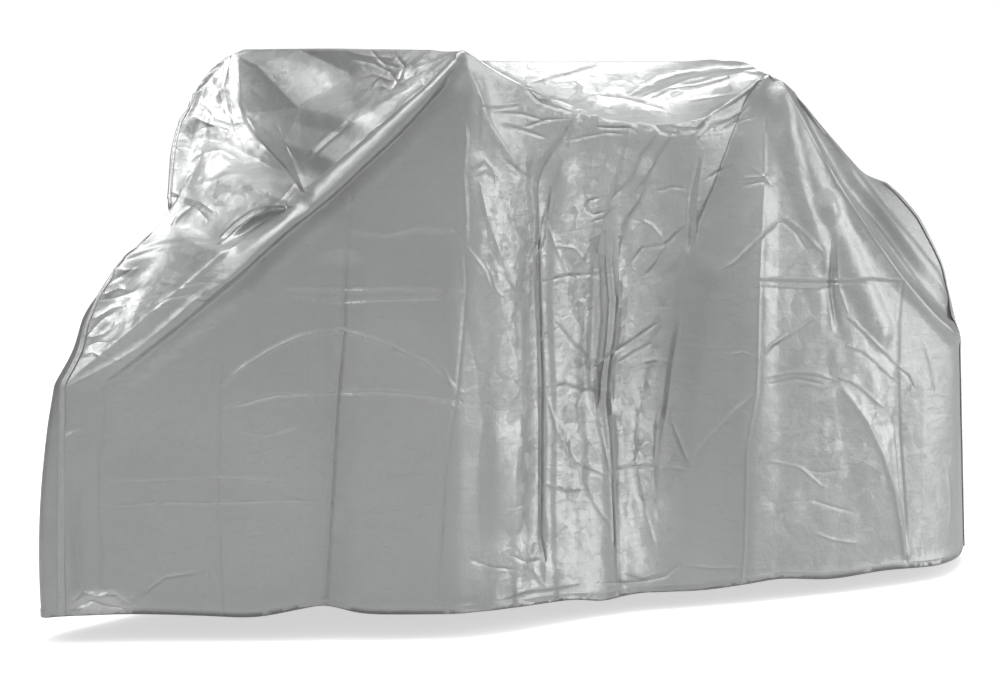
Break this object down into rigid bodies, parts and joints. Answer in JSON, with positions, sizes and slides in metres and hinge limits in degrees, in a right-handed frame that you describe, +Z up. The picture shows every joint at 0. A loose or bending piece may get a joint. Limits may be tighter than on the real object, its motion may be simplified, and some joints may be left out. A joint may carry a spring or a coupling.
{
  "type": "bicycle cover",
  "caption": "Thin silver-grey film cover, folded along its top and taped at both ends, hanging in folds as over a parked bicycle, open underneath.",
  "frame": {"origin": "middle of the cover's bounding box, at the level of the hem's lowest point", "axes": "+X from the front end seam to the rear end seam, +Z up, -Y the side towards which the handlebar is turned"},
  "size_m": [1.9304, 0.6164, 0.9956],
  "materials": {
    "silver_film": "thin silver-grey film, softly shiny, creased from folding",
    "seam_tape": "doubled film tape, softly shiny"
  },
  "bodies": {
    "root": {"cover": "silver_film", "front_seam_binding": "seam_tape", "rear_seam_binding": "seam_tape"}
  },
  "joints": []
}
